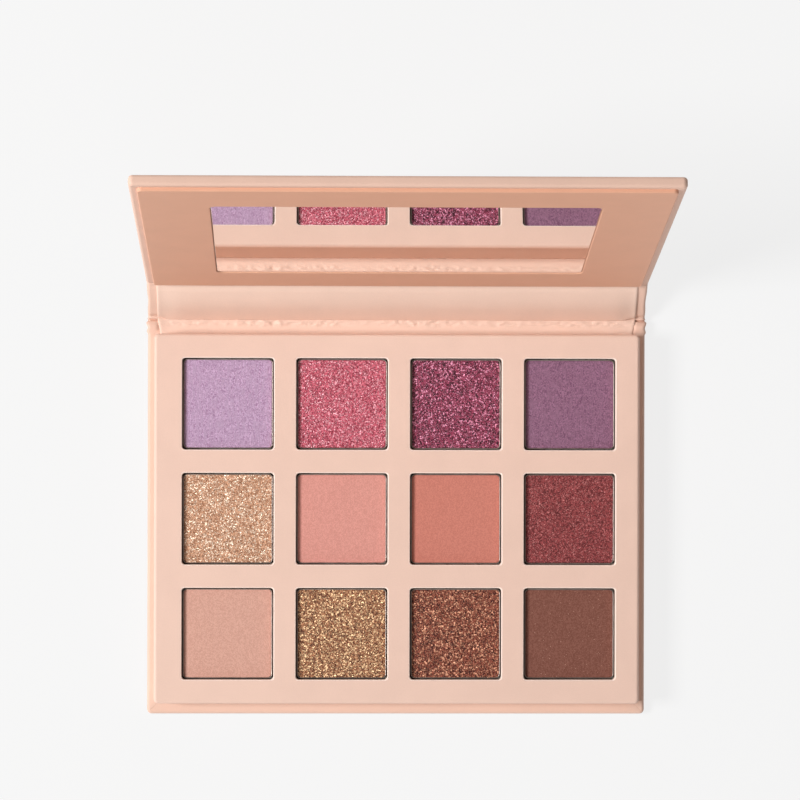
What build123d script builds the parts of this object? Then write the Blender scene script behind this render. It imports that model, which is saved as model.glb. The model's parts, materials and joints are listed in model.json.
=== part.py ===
"""Book-style card eyeshadow palette: base with a tray of twelve pans, spine, and a lid with a set-in mirror.

Millimetres. The origin is the centre of the base panel's underside, +X runs along the fold, +Y points to
the spine and +Z is up. The palette lies on its base with the lid open.
"""

import os
from math import cos, radians, sin

from build123d import *

# Pans and the grid of windows that they stand in
ROWS = 3
COLUMNS = 4
PAN_SIZE = 24.6
PAN_HEIGHT = 4.3
PAN_WALL = 0.2
PAN_CORNER_RADIUS = 1.2
PAN_CLEARANCE = 0.3
RIB_X = 6.2
RIB_Y = 6.45
GRID_SHIFT_X = 0.5
WINDOW_CORNER_RADIUS = 0.9
PAN_GLUE = 0.15
GLUE_DOT_RADIUS = 7.0
POWDER_DROP = 0.15
POWDER_EDGE_RADIUS = 0.5

# Tray
TRAY_HEIGHT = 8.0
TRAY_SIDE_MARGIN = 7.2
TRAY_END_MARGIN = 6.65
TRAY_BASE_LAYER = 2.2
FACE_CARD = 1.0
TRAY_TOP_RADIUS = 0.6

# Cover panels
GREYBOARD = 2.3
PAPER = 0.25
SIDE_FLANGE = 2.1
END_FLANGE = 3.4
BOARD_CORNER_RADIUS = 1.0
BOARD_EDGE_RADIUS = 0.6
TURN_IN = 12.0

# Folds of the cover, and the pose that it is shown in
BASE_FOLD_GAP = 2.0
FOLD_CLEARANCE = 0.3
SPINE_ANGLE = 44.0
LID_ANGLE = 79.0
CREASE_RADIUS = 0.8
LINING_SIDE_MARGIN = 0.6
LINING_DIP = 1.5
LINING_LEAD = 0.3
LINING_BEND_RADIUS = 0.2
LINING_DIP_RADIUS = 0.4

# Lid panel and mirror
LID_PANEL_CARD = 0.75
LID_PANEL_REAR_MARGIN = 0.25
LID_PANEL_FRONT_MARGIN = 2.0
PANEL_CORNER_RADIUS = 1.0
MIRROR_SIDE_MARGIN = 17.6
MIRROR_END_MARGIN = 15.6
MIRROR_CLEARANCE = 0.15
MIRROR_CORNER_RADIUS = 2.0
MIRROR_GLASS = 0.65
MIRROR_BACKING = 0.1
TAPE_WIDTH = 12.0
TAPE_END_MARGIN = 6.0
TAPE_SPACING = 60.0

# Closing magnets
MAGNET_RADIUS = 2.0
MAGNET_HEIGHT = 1.5
MAGNET_SPACING = 104.0

# Plan sizes that follow
WINDOW = PAN_SIZE + 2 * PAN_CLEARANCE
PITCH_X = WINDOW + RIB_X
PITCH_Y = WINDOW + RIB_Y
TRAY_WIDTH = COLUMNS * WINDOW + (COLUMNS - 1) * RIB_X + 2 * TRAY_SIDE_MARGIN
TRAY_LENGTH = ROWS * WINDOW + (ROWS - 1) * RIB_Y + 2 * TRAY_END_MARGIN
COVER_WIDTH = TRAY_WIDTH + 2 * SIDE_FLANGE
HALF_BASE = TRAY_LENGTH / 2 + END_FLANGE
LINING_WIDTH = TRAY_WIDTH - 2 * LINING_SIDE_MARGIN

# Heights that follow
COVER_THICKNESS = GREYBOARD + 2 * PAPER
BOARD_TOP = COVER_THICKNESS - PAPER
LID_PANEL = LID_PANEL_CARD + PAPER
TRAY_BOTTOM = COVER_THICKNESS
TRAY_TOP = TRAY_BOTTOM + TRAY_HEIGHT
FACE_TOP = TRAY_TOP - PAPER
FRAME_BOTTOM = TRAY_BOTTOM + TRAY_BASE_LAYER
FRAME_TOP = FACE_TOP - FACE_CARD
PAN_BOTTOM = FRAME_BOTTOM + PAN_GLUE

# Places along the folded cover that follow: the closed lid lies a clearance above the tray
FOLD_START = COVER_THICKNESS + PAPER + FOLD_CLEARANCE
FOLD_SPAN = 2 * COVER_THICKNESS + TRAY_HEIGHT + LID_PANEL + FOLD_CLEARANCE
SPINE_END = FOLD_SPAN - FOLD_START
BASE_FOLD_Y = HALF_BASE + BASE_FOLD_GAP
LID_FOLD_Y = BASE_FOLD_Y + FOLD_SPAN * cos(radians(SPINE_ANGLE))
LID_FOLD_Z = FOLD_SPAN * sin(radians(SPINE_ANGLE))
LID_END = BASE_FOLD_Y + HALF_BASE
PANEL_START = FOLD_START + LID_PANEL_REAR_MARGIN
PANEL_END = LID_END - LID_PANEL_FRONT_MARGIN
PANEL_LENGTH = PANEL_END - PANEL_START
PANEL_CENTRE = (PANEL_START + PANEL_END) / 2
MIRROR_WIDTH = TRAY_WIDTH - 2 * MIRROR_SIDE_MARGIN
MIRROR_HEIGHT = PANEL_LENGTH - 2 * MIRROR_END_MARGIN
MAGNET_Y = TRAY_END_MARGIN / 2 - TRAY_LENGTH / 2
LID_MAGNET_ALONG = BASE_FOLD_Y - MAGNET_Y


def panel_plane(y, z, angle):
    """Plane of a cover panel: its y runs along the panel from the fold line and its z is the inner normal."""
    turn = radians(angle)
    return Plane(origin=(0, y, z), x_dir=(1, 0, 0), z_dir=(0, -sin(turn), cos(turn)))


BASE = Plane.XY
SPINE = panel_plane(BASE_FOLD_Y, 0, SPINE_ANGLE)
LID = panel_plane(LID_FOLD_Y, LID_FOLD_Z, LID_ANGLE)


def save(builder, label):
    """Label a finished piece and write it as its own STEP file."""
    builder.part.label = label
    export_step(builder.part, f"parts/{label}.step")


def cover_slab(plane, start, end, depth, cut_start=False, cut_end=False):
    """A cover panel's body, `depth` inside the paper's face, with rounded free edges and square fold edges."""
    width = COVER_WIDTH - 2 * depth
    low = start - COVER_THICKNESS if cut_start else start + depth
    high = end + COVER_THICKNESS if cut_end else end - depth
    corner = BOARD_CORNER_RADIUS + PAPER - depth
    edge = BOARD_EDGE_RADIUS + PAPER - depth
    with BuildPart() as slab:
        with BuildSketch(plane.offset(depth)):
            with Locations((0, (low + high) / 2)):
                RectangleRounded(width, high - low, corner)
        extrude(amount=COVER_THICKNESS - 2 * depth)
        faces = slab.faces().sort_by(Axis(plane.origin, plane.z_dir))
        fillet(faces[0].edges() + faces[-1].edges(), edge)
        with BuildSketch(plane):
            with Locations((0, (start + end) / 2)):
                Rectangle(2 * COVER_WIDTH, end - start)
        extrude(amount=COVER_THICKNESS, mode=Mode.INTERSECT)
    return slab.part


def cover_wrap(plane, start, end, cut_start=False, cut_end=False):
    """The paper round a cover panel: outer sheet, edges, and turn-ins on the inner face."""
    low = start if cut_start else start + TURN_IN
    high = end if cut_end else end - TURN_IN
    with BuildPart() as wrap:
        add(cover_slab(plane, start, end, 0, cut_start, cut_end))
        add(cover_slab(plane, start, end, PAPER, cut_start, cut_end), mode=Mode.SUBTRACT)
        with BuildSketch(plane.offset(COVER_THICKNESS - PAPER)):
            with Locations((0, (low + high) / 2)):
                Rectangle(COVER_WIDTH - 2 * TURN_IN, high - low)
        extrude(amount=PAPER, mode=Mode.SUBTRACT)
    return wrap.part


def window_places():
    """Centre of every pan's window as (row, column, x, y), rows counted from the spine."""
    places = []
    for row in range(ROWS):
        for column in range(COLUMNS):
            x = GRID_SHIFT_X + (column - (COLUMNS - 1) / 2) * PITCH_X
            y = ((ROWS - 1) / 2 - row) * PITCH_Y
            places.append((row + 1, column + 1, x, y))
    return places


def window_centres():
    """Centres of the windows, as points for Locations."""
    return [(x, y) for _, _, x, y in window_places()]


def bent_strip(points, radii, width):
    """A paper strip along a bent line of (0, y, z) points in mid-paper, with one radius for each turn."""
    with BuildPart() as strip:
        with BuildSketch(Plane.YZ.offset(-width / 2)):
            with BuildLine():
                FilletPolyline(*[(point.Y, point.Z) for point in points], radius=radii)
            trace(line_width=PAPER)
        extrude(amount=width)
    return strip.part


def on_panel(plane, along, height):
    """World point on the centre line of a panel, `along` from its fold and `height` above its paper face."""
    return plane.from_local_coords(Vector(0, along, height))


def outer_fold(first, first_end, second, second_start):
    """Outer paper across the fold line at the second panel's origin."""
    middle = PAPER / 2
    half_turn = (first.z_dir + second.z_dir) / (1 + first.z_dir.dot(second.z_dir))
    corner = second.origin + half_turn * middle
    points = [on_panel(first, first_end, middle), corner, on_panel(second, second_start, middle)]
    return bent_strip(points, [CREASE_RADIUS], COVER_WIDTH)


def inner_fold(first, first_end, second, second_start):
    """Lining across a fold, dipping into the groove between the two boards."""
    height = COVER_THICKNESS + PAPER / 2
    entry = on_panel(first, first_end + LINING_LEAD, height)
    leave = on_panel(second, second_start - LINING_LEAD, height)
    inward = (first.z_dir + second.z_dir).normalized()
    dip = (entry + leave) / 2 - inward * LINING_DIP
    points = [on_panel(first, first_end, height), entry, dip, leave, on_panel(second, second_start, height)]
    return bent_strip(points, [LINING_BEND_RADIUS, LINING_DIP_RADIUS, LINING_BEND_RADIUS], LINING_WIDTH)


os.makedirs("parts", exist_ok=True)

# ---- Base panel of the cover ----

with BuildPart() as base_board:
    add(cover_slab(BASE, -HALF_BASE, HALF_BASE, PAPER, cut_end=True))
save(base_board, "base_board")

with BuildPart() as base_wrap:
    add(cover_wrap(BASE, -HALF_BASE, HALF_BASE, cut_end=True))
save(base_wrap, "base_wrap")

with BuildPart() as base_lining:
    with BuildSketch(BASE.offset(COVER_THICKNESS)):
        with Locations((0, (TRAY_LENGTH / 2 + HALF_BASE) / 2)):
            Rectangle(LINING_WIDTH, HALF_BASE - TRAY_LENGTH / 2)
    extrude(amount=PAPER)
save(base_lining, "base_lining")

# ---- Tray: two card layers, a face card with windows, and the paper round them ----

CORE_WIDTH = TRAY_WIDTH - 2 * PAPER
CORE_LENGTH = TRAY_LENGTH - 2 * PAPER
CORE_RADIUS = BOARD_CORNER_RADIUS
CARD_WINDOW = WINDOW + 2 * PAPER
CARD_WINDOW_RADIUS = WINDOW_CORNER_RADIUS + PAPER
MAGNET_CENTRES = [(-MAGNET_SPACING / 2, MAGNET_Y), (MAGNET_SPACING / 2, MAGNET_Y)]

with BuildPart() as tray_base_layer:
    with BuildSketch(Plane.XY.offset(TRAY_BOTTOM)):
        RectangleRounded(CORE_WIDTH, CORE_LENGTH, CORE_RADIUS)
    extrude(amount=TRAY_BASE_LAYER)
save(tray_base_layer, "tray_base_layer")

with BuildPart() as tray_frame:
    with BuildSketch(Plane.XY.offset(FRAME_BOTTOM)):
        RectangleRounded(CORE_WIDTH, CORE_LENGTH, CORE_RADIUS)
        with Locations(*window_centres()):
            RectangleRounded(WINDOW, WINDOW, WINDOW_CORNER_RADIUS, mode=Mode.SUBTRACT)
    extrude(amount=FRAME_TOP - FRAME_BOTTOM)
    with BuildSketch(Plane.XY.offset(FRAME_TOP - MAGNET_HEIGHT)):
        with Locations(*MAGNET_CENTRES):
            Circle(MAGNET_RADIUS)
    extrude(amount=MAGNET_HEIGHT, mode=Mode.SUBTRACT)
save(tray_frame, "tray_frame")

with BuildPart() as face_card:
    with BuildSketch(Plane.XY.offset(FRAME_TOP)):
        RectangleRounded(CORE_WIDTH, CORE_LENGTH, CORE_RADIUS)
    extrude(amount=FACE_CARD)
    fillet(face_card.faces().sort_by(Axis.Z)[-1].edges(), TRAY_TOP_RADIUS - PAPER)
    with BuildSketch(Plane.XY.offset(FRAME_TOP)):
        with Locations(*window_centres()):
            RectangleRounded(CARD_WINDOW, CARD_WINDOW, CARD_WINDOW_RADIUS)
    extrude(amount=FACE_CARD, mode=Mode.SUBTRACT)
save(face_card, "face_card")

with BuildPart() as tray_wrap:
    with BuildSketch(Plane.XY.offset(TRAY_BOTTOM)):
        RectangleRounded(TRAY_WIDTH, TRAY_LENGTH, CORE_RADIUS + PAPER)
    extrude(amount=TRAY_HEIGHT)
    fillet(tray_wrap.faces().sort_by(Axis.Z)[-1].edges(), TRAY_TOP_RADIUS)
    with BuildSketch(Plane.XY.offset(TRAY_BOTTOM)):
        with Locations(*window_centres()):
            RectangleRounded(WINDOW, WINDOW, WINDOW_CORNER_RADIUS)
    extrude(amount=TRAY_HEIGHT, mode=Mode.SUBTRACT)
    add(tray_base_layer.part, mode=Mode.SUBTRACT)
    with BuildSketch(Plane.XY.offset(FRAME_BOTTOM)):
        RectangleRounded(CORE_WIDTH, CORE_LENGTH, CORE_RADIUS)
    extrude(amount=FRAME_TOP - FRAME_BOTTOM, mode=Mode.SUBTRACT)
    add(face_card.part, mode=Mode.SUBTRACT)
save(tray_wrap, "tray_wrap")

# ---- Pans, their glue and the pressed powders ----

with BuildPart() as pan_glue:
    with BuildSketch(Plane.XY.offset(FRAME_BOTTOM)):
        with Locations(*window_centres()):
            Circle(GLUE_DOT_RADIUS)
    extrude(amount=PAN_GLUE)
save(pan_glue, "pan_glue")

POWDER_SIZE = PAN_SIZE - 2 * PAN_WALL
POWDER_BOTTOM = PAN_BOTTOM + PAN_WALL
POWDER_HEIGHT = PAN_HEIGHT - PAN_WALL - POWDER_DROP
POWDER_CORNER_RADIUS = PAN_CORNER_RADIUS - PAN_WALL

for row, column, x, y in window_places():
    with BuildPart() as pan:
        with BuildSketch(Plane.XY.offset(PAN_BOTTOM)):
            with Locations((x, y)):
                RectangleRounded(PAN_SIZE, PAN_SIZE, PAN_CORNER_RADIUS)
        extrude(amount=PAN_HEIGHT)
        with BuildSketch(Plane.XY.offset(POWDER_BOTTOM)):
            with Locations((x, y)):
                RectangleRounded(POWDER_SIZE, POWDER_SIZE, POWDER_CORNER_RADIUS)
        extrude(amount=PAN_HEIGHT, mode=Mode.SUBTRACT)
    save(pan, f"pan_r{row}c{column}")

    with BuildPart() as powder:
        with BuildSketch(Plane.XY.offset(POWDER_BOTTOM)):
            with Locations((x, y)):
                RectangleRounded(POWDER_SIZE, POWDER_SIZE, POWDER_CORNER_RADIUS)
        extrude(amount=POWDER_HEIGHT)
        fillet(powder.faces().sort_by(Axis.Z)[-1].edges(), POWDER_EDGE_RADIUS)
    save(powder, f"powder_r{row}c{column}")

# ---- Spine panel of the cover ----

with BuildPart() as spine_board:
    add(cover_slab(SPINE, FOLD_START, SPINE_END, PAPER, cut_start=True, cut_end=True))
save(spine_board, "spine_board")

with BuildPart() as spine_wrap:
    add(cover_wrap(SPINE, FOLD_START, SPINE_END, cut_start=True, cut_end=True))
save(spine_wrap, "spine_wrap")

with BuildPart() as spine_lining:
    with BuildSketch(SPINE.offset(COVER_THICKNESS)):
        with Locations((0, FOLD_SPAN / 2)):
            Rectangle(LINING_WIDTH, SPINE_END - FOLD_START)
    extrude(amount=PAPER)
save(spine_lining, "spine_lining")

# ---- Bending paper of the two folds ----

with BuildPart() as base_joint_paper:
    add(outer_fold(BASE, HALF_BASE, SPINE, FOLD_START))
save(base_joint_paper, "base_joint_paper")

with BuildPart() as base_joint_lining:
    add(inner_fold(BASE, HALF_BASE, SPINE, FOLD_START))
save(base_joint_lining, "base_joint_lining")

with BuildPart() as lid_joint_paper:
    add(outer_fold(SPINE, SPINE_END, LID, FOLD_START))
save(lid_joint_paper, "lid_joint_paper")

with BuildPart() as lid_joint_lining:
    add(inner_fold(SPINE, SPINE_END, LID, FOLD_START))
save(lid_joint_lining, "lid_joint_lining")

# ---- Lid panel of the cover ----

with BuildPart() as lid_board:
    add(cover_slab(LID, FOLD_START, LID_END, PAPER, cut_start=True))
    with BuildSketch(LID.offset(BOARD_TOP - MAGNET_HEIGHT)):
        with Locations(*[(x, LID_MAGNET_ALONG) for x, _ in MAGNET_CENTRES]):
            Circle(MAGNET_RADIUS)
    extrude(amount=MAGNET_HEIGHT, mode=Mode.SUBTRACT)
save(lid_board, "lid_board")

with BuildPart() as lid_wrap:
    add(cover_wrap(LID, FOLD_START, LID_END, cut_start=True))
save(lid_wrap, "lid_wrap")

with BuildPart() as lid_magnets:
    with BuildSketch(LID.offset(BOARD_TOP - MAGNET_HEIGHT)):
        with Locations(*[(x, LID_MAGNET_ALONG) for x, _ in MAGNET_CENTRES]):
            Circle(MAGNET_RADIUS)
    extrude(amount=MAGNET_HEIGHT)
save(lid_magnets, "lid_magnets")

with BuildPart() as base_magnets:
    with BuildSketch(Plane.XY.offset(FRAME_TOP - MAGNET_HEIGHT)):
        with Locations(*MAGNET_CENTRES):
            Circle(MAGNET_RADIUS)
    extrude(amount=MAGNET_HEIGHT)
save(base_magnets, "base_magnets")

# ---- Lid's inner panel and its mirror ----

PANEL_CORE_LENGTH = PANEL_LENGTH - 2 * PAPER
CARD_OPENING_WIDTH = MIRROR_WIDTH + 2 * PAPER
CARD_OPENING_HEIGHT = MIRROR_HEIGHT + 2 * PAPER
TAPE_LENGTH = MIRROR_HEIGHT - 2 * TAPE_END_MARGIN

with BuildPart() as lid_panel_card:
    with BuildSketch(LID.offset(COVER_THICKNESS)):
        with Locations((0, PANEL_CENTRE)):
            RectangleRounded(CORE_WIDTH, PANEL_CORE_LENGTH, PANEL_CORNER_RADIUS)
            RectangleRounded(
                CARD_OPENING_WIDTH, CARD_OPENING_HEIGHT, MIRROR_CORNER_RADIUS + PAPER, mode=Mode.SUBTRACT
            )
    extrude(amount=LID_PANEL_CARD)
save(lid_panel_card, "lid_panel_card")

with BuildPart() as lid_panel_facing:
    with BuildSketch(LID.offset(COVER_THICKNESS)):
        with Locations((0, PANEL_CENTRE)):
            RectangleRounded(TRAY_WIDTH, PANEL_LENGTH, PANEL_CORNER_RADIUS + PAPER)
            RectangleRounded(MIRROR_WIDTH, MIRROR_HEIGHT, MIRROR_CORNER_RADIUS, mode=Mode.SUBTRACT)
    extrude(amount=LID_PANEL)
    add(lid_panel_card.part, mode=Mode.SUBTRACT)
save(lid_panel_facing, "lid_panel_facing")

GLASS_WIDTH = MIRROR_WIDTH - 2 * MIRROR_CLEARANCE
GLASS_HEIGHT = MIRROR_HEIGHT - 2 * MIRROR_CLEARANCE
GLASS_RADIUS = MIRROR_CORNER_RADIUS - MIRROR_CLEARANCE

with BuildPart() as mirror_tape:
    with BuildSketch(LID.offset(BOARD_TOP)):
        with Locations((-TAPE_SPACING / 2, PANEL_CENTRE), (TAPE_SPACING / 2, PANEL_CENTRE)):
            Rectangle(TAPE_WIDTH, TAPE_LENGTH)
    extrude(amount=PAPER)
save(mirror_tape, "mirror_tape")

with BuildPart() as mirror_backing:
    with BuildSketch(LID.offset(COVER_THICKNESS)):
        with Locations((0, PANEL_CENTRE)):
            RectangleRounded(GLASS_WIDTH, GLASS_HEIGHT, GLASS_RADIUS)
    extrude(amount=MIRROR_BACKING)
save(mirror_backing, "mirror_backing")

with BuildPart() as mirror_glass:
    with BuildSketch(LID.offset(COVER_THICKNESS + MIRROR_BACKING)):
        with Locations((0, PANEL_CENTRE)):
            RectangleRounded(GLASS_WIDTH, GLASS_HEIGHT, GLASS_RADIUS)
    extrude(amount=MIRROR_GLASS)
save(mirror_glass, "mirror_glass")
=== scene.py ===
"""Visual model of a book-style card eyeshadow palette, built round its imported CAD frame.

The cover is one sheet of paper over three boards. The base carries a card tray with twelve pans of
pressed powder, the spine stands behind it on a paper fold, and the lid carries a set-in mirror.
Every size is in metres. Pieces are modelled flat in their own panel's axes and then set in place.
"""

import json
import logging
import math
from collections.abc import Callable, Iterable, Iterator
from contextlib import contextmanager
from dataclasses import dataclass
from enum import Enum

import bmesh
import bpy
from mathutils import Matrix, Vector, noise


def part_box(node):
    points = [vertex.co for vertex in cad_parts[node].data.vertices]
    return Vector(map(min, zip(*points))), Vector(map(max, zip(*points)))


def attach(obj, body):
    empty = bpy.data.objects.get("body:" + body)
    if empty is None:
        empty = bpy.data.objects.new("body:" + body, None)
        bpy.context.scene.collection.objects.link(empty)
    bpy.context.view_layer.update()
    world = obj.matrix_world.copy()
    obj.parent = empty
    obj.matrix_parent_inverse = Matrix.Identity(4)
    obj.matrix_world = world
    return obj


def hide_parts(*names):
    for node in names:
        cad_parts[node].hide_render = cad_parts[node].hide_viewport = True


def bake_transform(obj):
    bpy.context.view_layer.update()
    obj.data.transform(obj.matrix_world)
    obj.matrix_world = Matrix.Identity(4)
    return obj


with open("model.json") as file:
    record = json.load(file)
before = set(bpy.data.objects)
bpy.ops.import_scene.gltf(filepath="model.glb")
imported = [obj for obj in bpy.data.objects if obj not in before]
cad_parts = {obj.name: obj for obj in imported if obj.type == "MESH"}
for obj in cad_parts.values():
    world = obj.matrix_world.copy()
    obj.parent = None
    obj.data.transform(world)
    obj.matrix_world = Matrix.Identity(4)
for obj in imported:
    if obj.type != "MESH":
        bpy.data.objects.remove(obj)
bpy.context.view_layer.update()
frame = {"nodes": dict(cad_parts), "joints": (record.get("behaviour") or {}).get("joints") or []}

MM = 0.001
# Thickness of every paper.
PAPER = 0.25 * MM
# Places nearer than this are one place.
CLOSE = 0.01 * MM
# A face looks along an axis when its normal has at least this share of it.
FACING = 0.99
LOG = logging.getLogger("palette")

Screen = tuple[int, int, int]
Colour = tuple[float, float, float]
Point = tuple[float, float, float]
Socket = bpy.types.NodeSocket
Edge = bmesh.types.BMEdge
Face = bmesh.types.BMFace


# Small helpers


def from_screen(screen: Screen) -> Colour:
    """Turn a colour given as three screen values into a linear colour.

    Args:
        screen: Red, green and blue, each from 0 to 255.

    Returns:
        The linear colour, each channel from 0 to 1.
    """
    shares = [value / 255 for value in screen]
    return tuple(share / 12.92 if share <= 0.04045 else ((share + 0.055) / 1.055) ** 2.4 for share in shares)


def shaded(colour: Colour, factor: float) -> Colour:
    """A colour made lighter or darker by a factor."""
    return tuple(min(1.0, factor * channel) for channel in colour)


def smoothstep(value: float) -> float:
    """Ease a share from 0 to 1, flat at both ends."""
    share = min(max(value, 0.0), 1.0)
    return share * share * (3 - 2 * share)


def hill(value: float, low: float, high: float) -> float:
    """Height of a smooth hill between two places.

    Args:
        value: Where the height is wanted.
        low: Where the hill starts.
        high: Where it ends.

    Returns:
        The height, 1 in the middle and 0 outside.
    """
    if value <= low or value >= high:
        return 0.0
    return math.sin(math.pi * (value - low) / (high - low)) ** 2


def mix_numbers(first: float, second: float, share: float) -> float:
    """Value between two numbers, at a share from 0 to 1."""
    return first + (second - first) * share


def between(first: float, last: float, count: int) -> list[float]:
    """Evenly spaced places between two ends, without the ends."""
    return [mix_numbers(first, last, (index + 1) / (count + 1)) for index in range(count)]


# Panels and folds of the cover


@dataclass(frozen=True)
class Panel:
    """A cover panel's own axes: x along the fold, y away from it, z out of its inner face.

    Attributes:
        body: CAD body that the panel is.
        pivot: Point on the fold line that its y is measured from, on the outer paper face.
        tilt: Angle of the panel above the ground, in degrees.
    """

    body: str
    pivot: Vector
    tilt: float

    def matrix(self) -> Matrix:
        """Matrix from the panel's axes to the shared frame."""
        return Matrix.Translation(self.pivot) @ Matrix.Rotation(math.radians(self.tilt), 4, "X")

    def box(self, node: str) -> tuple[Vector, Vector]:
        """Lowest and highest corner of a CAD node in the panel's axes.

        Args:
            node: Name of the CAD node.

        Returns:
            The two corners.
        """
        inverse = self.matrix().inverted()
        points = [inverse @ vertex.co for vertex in frame["nodes"][node].data.vertices]
        low = Vector([min(point[axis] for point in points) for axis in range(3)])
        high = Vector([max(point[axis] for point in points) for axis in range(3)])
        return low, high


def joint(name: str) -> dict:
    """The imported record's row for a joint."""
    return next(row for row in frame["joints"] if row["name"] == name)


SPINE_TILT = -joint("spine_fold")["range_deg"][0]
LID_TILT = SPINE_TILT - joint("lid_fold")["range_deg"][0]
BASE = Panel("base", Vector((0, 0, 0)), 0.0)
SPINE = Panel("spine", Vector(joint("spine_fold")["pos_m"]), SPINE_TILT)
LID = Panel("lid", Vector(joint("lid_fold")["pos_m"]), LID_TILT)


def turned(along: float, up: float, angle: float) -> tuple[float, float]:
    """Turn a point of a cross-section about its pivot.

    Args:
        along: Place along the panel.
        up: Height above the panel.
        angle: Turn in radians.

    Returns:
        The turned place and height.
    """
    return along * math.cos(angle) - up * math.sin(angle), along * math.sin(angle) + up * math.cos(angle)


@dataclass(frozen=True)
class Fold:
    """A fold of the cover between two panels, and how flat paper is brought round it.

    Attributes:
        first: Panel before the fold.
        second: Panel after the fold, whose pivot is the fold line.
        before: Distance from the first panel's board edge to the fold line.
        after: Distance from the fold line to the second panel's board edge.
        thickness: Thickness of the covered boards.
        crease: Half width of the bend in the outer paper.
    """

    first: Panel
    second: Panel
    before: float
    after: float
    thickness: float
    crease: float = 0.7 * MM

    def share(self, distance: float, height: float) -> float:
        """How far round the fold a place of the flat paper is, from 0 to 1.

        Args:
            distance: Distance past the fold line along the flat paper.
            height: Height above the outer paper face.

        Returns:
            The share of the fold's turn.
        """
        spread = smoothstep(height / self.thickness)
        low = mix_numbers(self.crease, self.before, spread)
        high = mix_numbers(self.crease, self.after, spread)
        return smoothstep((distance + low) / (low + high))

    def place(self, x: float, distance: float, height: float) -> Vector:
        """Bring a point of the flat paper round the fold.

        Args:
            x: Place along the fold line.
            distance: Distance past the fold line along the flat paper.
            height: Height above the outer paper face.

        Returns:
            The point in the shared frame.
        """
        turn = self.first.tilt + (self.second.tilt - self.first.tilt) * self.share(distance, height)
        return self.second.pivot + Vector((x, *turned(distance, height, math.radians(turn))))

    def ends(self, height: float) -> tuple[Vector, Vector]:
        """Where paper at a height starts and stops bending."""
        return self.place(0, -self.before, height), self.place(0, self.after, height)


# The bench: one piece and the operators that shape it


class Pick(Enum):
    """What is picked in edit mode."""

    VERTEX = "VERT"
    EDGE = "EDGE"
    FACE = "FACE"


class Axis(Enum):
    """One of the three axes, as an index into a point."""

    X = 0
    Y = 1
    Z = 2

    def unit(self) -> Vector:
        """Unit vector along the axis."""
        return Vector([1.0 if index == self.value else 0.0 for index in range(3)])


def runs_along(edge: Edge, axis: Axis) -> bool:
    """Whether an edge runs along an axis."""
    step = edge.verts[1].co - edge.verts[0].co
    return step.length > 0 and abs(step[axis.value]) > 0.999 * step.length


def middle(edge: Edge) -> Vector:
    """Middle point of an edge."""
    return (edge.verts[0].co + edge.verts[1].co) / 2


def level(edge: Edge, height: float) -> bool:
    """Whether both ends of an edge lie at a height."""
    return all(abs(vertex.co.z - height) < CLOSE for vertex in edge.verts)


def upright(edge: Edge) -> bool:
    """Whether an edge runs along z."""
    return runs_along(edge, Axis.Z)


def looks_up(face: Face) -> bool:
    """Whether a face looks along z."""
    return face.normal.z > FACING


def among(place: float, ends: Iterable[float]) -> bool:
    """Whether a place is at one of several ends."""
    return any(abs(place - end) < CLOSE for end in ends)


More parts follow.
